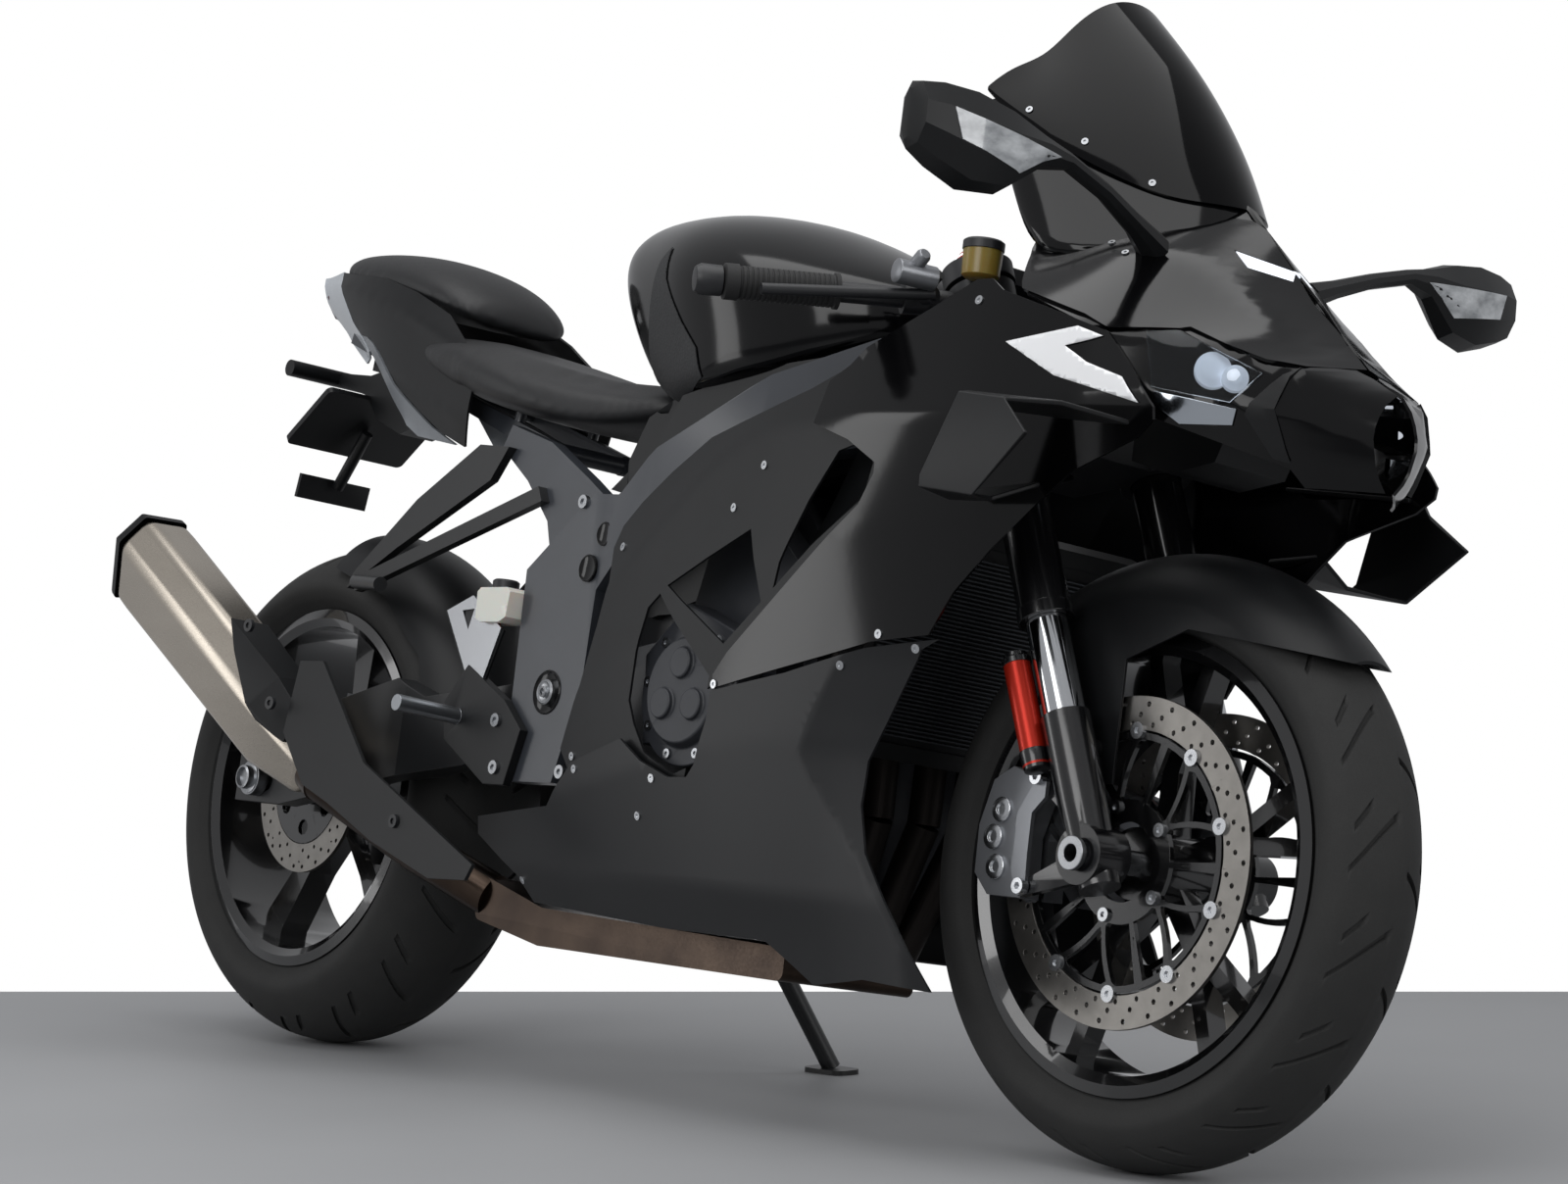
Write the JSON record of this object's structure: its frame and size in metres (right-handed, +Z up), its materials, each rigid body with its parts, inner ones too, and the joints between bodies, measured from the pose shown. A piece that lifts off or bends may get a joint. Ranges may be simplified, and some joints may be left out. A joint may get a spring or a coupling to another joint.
{
  "type": "sport motorcycle",
  "caption": "Full-fairing sport motorcycle parked leaning on its side stand, with turning wheels, limited steering and a folding stand.",
  "frame": {"origin": "on the floor under the centre of the parked machine's outline", "axes": "+X towards the front wheel, +Y to the rider's left, +Z up; the machine leans 9.2 degrees to +Y on its stand"},
  "size_m": [2.0698, 0.8892, 1.1998],
  "materials": {
    "tyre": "matt rubber",
    "wheel_black": "gloss black powder coat",
    "disc_steel": "ground stainless",
    "sprocket_steel": "machined steel",
    "chain_steel": "oiled steel",
    "fork_black": "satin black anodised",
    "fork_chrome": "hard chrome",
    "red_anodised": "red anodised",
    "cast_black": "satin black paint on cast alloy",
    "grip_rubber": "ribbed rubber",
    "axle_steel": "machined steel",
    "caliper_silver": "silver anodised",
    "satin_black": "satin black moulding",
    "satin_metal": "satin black paint",
    "frame_grey": "satin dark grey paint",
    "engine_dark": "dark grey engine paint",
    "radiator_black": "matt black",
    "exhaust_bronze": "heat-tinted stainless",
    "silencer_steel": "brushed titanium-toned steel",
    "gloss_black": "gloss black lacquer",
    "seat_leather": "black grained cover",
    "tail_white": "pale gloss",
    "lamp_clear": "clear lens",
    "screen_smoke": "dark smoked acrylic",
    "peg_alloy": "silver anodised"
  },
  "bodies": {
    "front_wheel": {"front_tyre": "tyre", "front_rim": "wheel_black", "front_discs": "disc_steel"},
    "rear_wheel": {"rear_tyre": "tyre", "rear_rim": "wheel_black", "rear_disc": "disc_steel", "rear_sprocket": "sprocket_steel"},
    "steering": {"fork_tubes": "fork_black", "fork_sliders": "fork_chrome", "fork_bottoms": "fork_black", "fork_reservoirs": "red_anodised", "triple_clamp": "cast_black", "handlebars": "cast_black", "grips": "grip_rubber", "front_axle": "axle_steel", "front_calipers": "caliper_silver", "front_fender": "satin_black"},
    "side_stand": {"side_stand": "satin_metal"},
    "chassis": {"main_frame": "frame_grey", "engine_block": "engine_dark", "engine_covers": "engine_dark", "radiator": "radiator_black", "exhaust_pipes": "exhaust_bronze", "silencer": "silencer_steel", "silencer_guard": "satin_black", "swingarm": "satin_metal", "rear_axle": "axle_steel", "rear_caliper": "caliper_silver", "hugger": "satin_black", "fuel_tank": "gloss_black", "rider_seat": "seat_leather", "pillion_seat": "seat_leather", "tail_cowl": "satin_black", "tail_light": "tail_white", "subframe": "frame_grey", "plate_holder": "satin_black", "side_cowls": "gloss_black", "belly_fairings": "satin_black", "fairing_stay": "satin_metal", "nose_cowl": "gloss_black", "headlights": "lamp_clear", "windscreen": "screen_smoke", "instrument_panel": "satin_black", "winglets": "gloss_black", "mirrors": "satin_black", "foot_pegs": "peg_alloy", "pillion_pegs": "satin_metal", "chain": "chain_steel"}
  },
  "joints": [
    {"name": "steering_turn", "type": "hinge", "parent": "chassis", "child": "steering", "pos_m": [0.48008, -0.02987, 0.7899], "axis": [-0.4064, 0.1467, 0.9018], "range_deg": [-24, 24]},
    {"name": "front_wheel_spin", "type": "hinge", "parent": "steering", "child": "front_wheel", "pos_m": [0.7351, -0.11007, 0.29692], "axis": [0, 0.987, -0.1606], "continuous": true},
    {"name": "rear_wheel_spin", "type": "hinge", "parent": "chassis", "child": "rear_wheel", "pos_m": [-0.7149, -0.10678, 0.31712], "axis": [0, 0.987, -0.1606], "continuous": true},
    {"name": "side_stand_fold", "type": "hinge", "parent": "chassis", "child": "side_stand", "pos_m": [-0.11492, 0.03193, 0.2356], "axis": [0.0002, 0.9104, 0.4138], "range_deg": [0, 100]}
  ]
}
